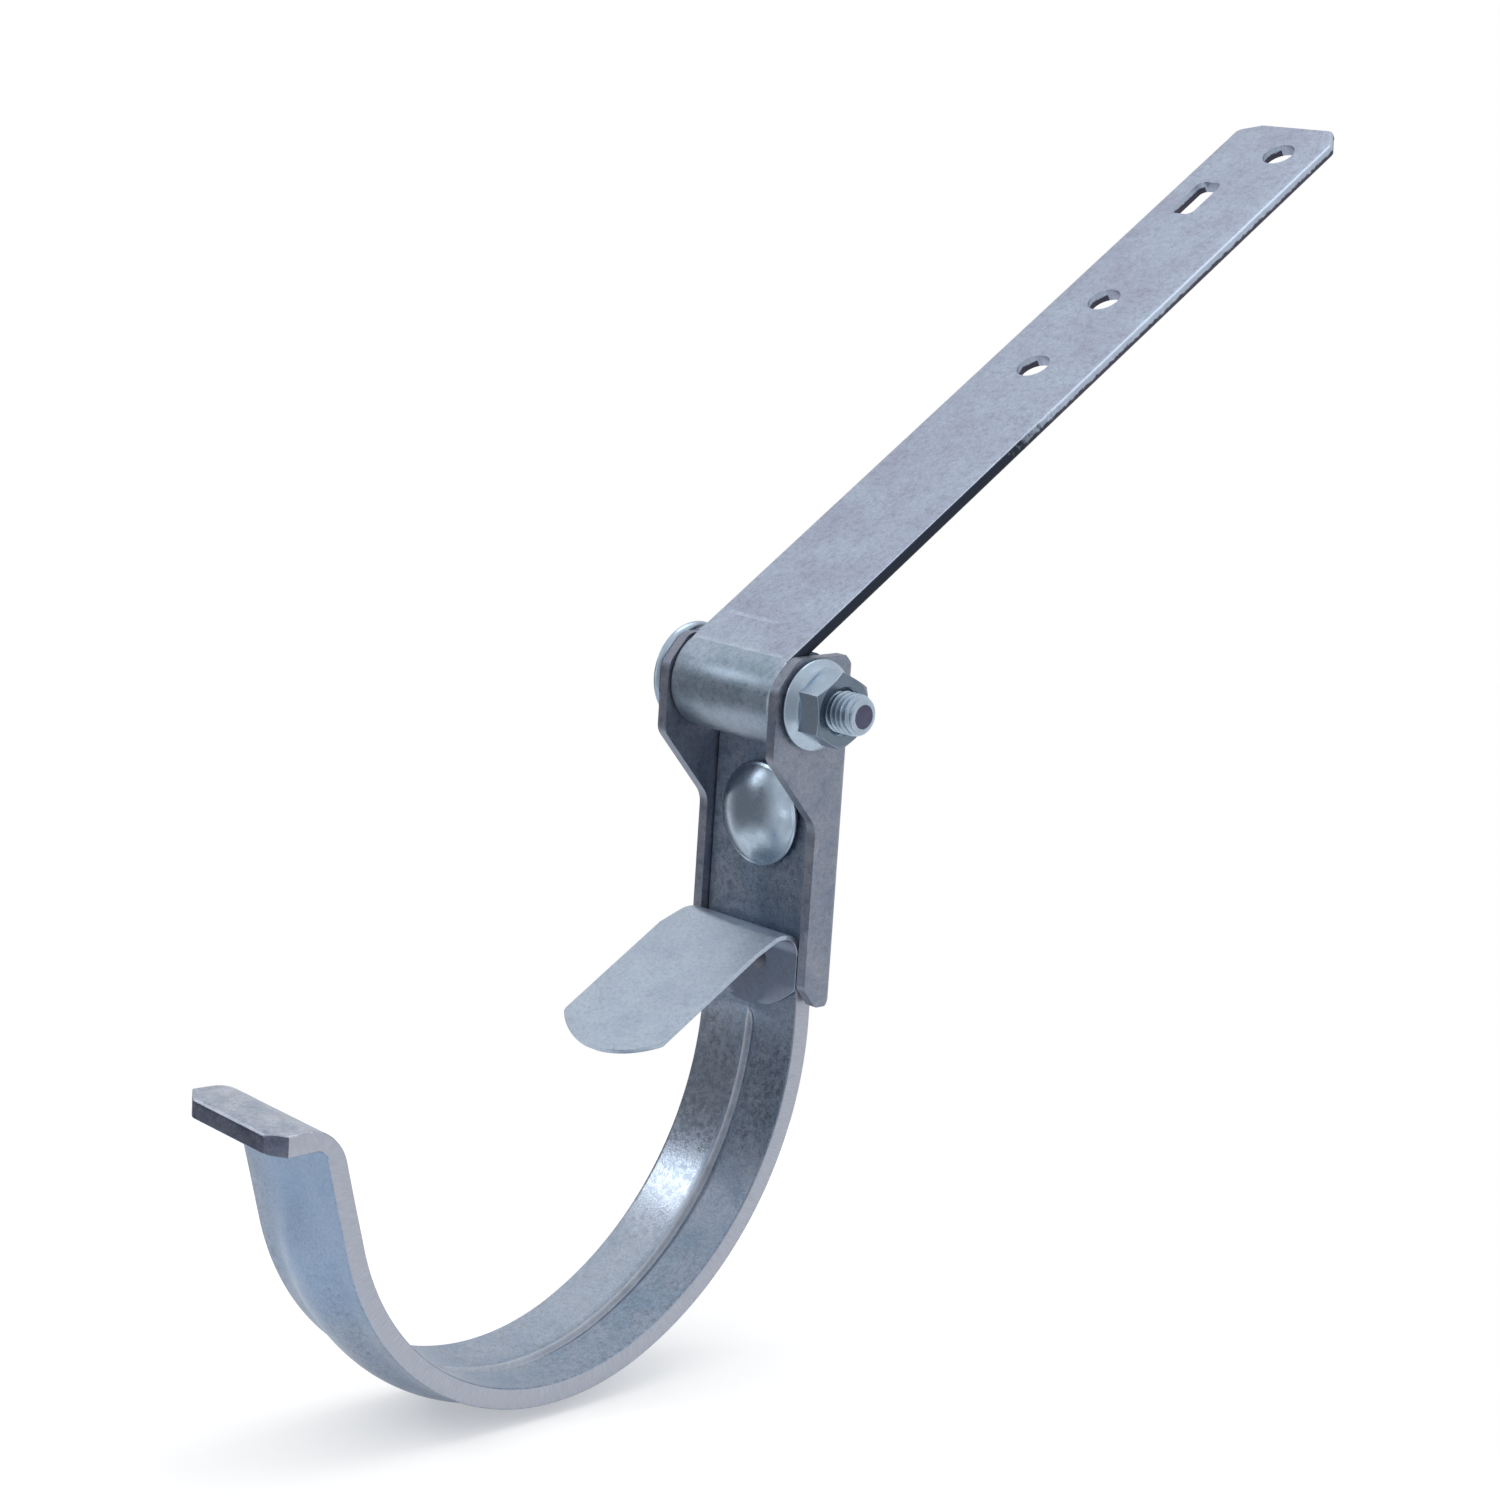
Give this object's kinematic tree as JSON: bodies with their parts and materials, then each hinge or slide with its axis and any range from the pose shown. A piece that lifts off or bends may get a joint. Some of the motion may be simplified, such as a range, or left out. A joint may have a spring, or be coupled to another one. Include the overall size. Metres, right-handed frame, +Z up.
{
  "type": "adjustable gutter bracket",
  "caption": "Galvanised steel bracket for a half-round gutter: a hook sliding in a folded channel that pivots on a rafter strap, with a spring clip.",
  "frame": {"origin": "centre of the half-round seat, on the bracket's middle plane", "axes": "+X along the pivot bolt to its nut, +Y towards the building, away from the gutter's front lip, +Z up along the channel"},
  "size_m": [0.05, 0.2686, 0.2395],
  "materials": {
    "rafter_strap": "hot-dip galvanised, dull",
    "clevis_channel": "hot-dip galvanised, dull",
    "pivot_bolt": "electro zinc plated, bright",
    "pivot_sleeve": "zinc plated tube",
    "pivot_nut": "electro zinc plated, bright",
    "gutter_hook": "hot-dip galvanised, patchy sheen",
    "spring_clip": "galvanised spring strip, matt",
    "clip_rivet": "zinc plated",
    "clamp_bolt": "electro zinc plated, bright",
    "clamp_nut": "electro zinc plated, bright"
  },
  "bodies": {
    "strap": {"rafter_strap": "rafter_strap"},
    "clevis": {"clevis_channel": "clevis_channel", "pivot_bolt": "pivot_bolt", "pivot_sleeve": "pivot_sleeve", "pivot_nut": "pivot_nut"},
    "hook": {"gutter_hook": "gutter_hook", "spring_clip": "spring_clip", "clip_rivet": "clip_rivet", "clamp_bolt": "clamp_bolt", "clamp_nut": "clamp_nut"}
  },
  "joints": [
    {"name": "roof_pitch", "type": "hinge", "parent": "strap", "child": "clevis", "pos_m": [0, 0.0499, 0.0723], "axis": [1, 0, 0], "range_deg": [-26.7, 33.3]},
    {"name": "height_adjust", "type": "slide", "parent": "clevis", "child": "hook", "axis": [0, 0, 1], "range_m": [-0.02, 0.0015]}
  ]
}
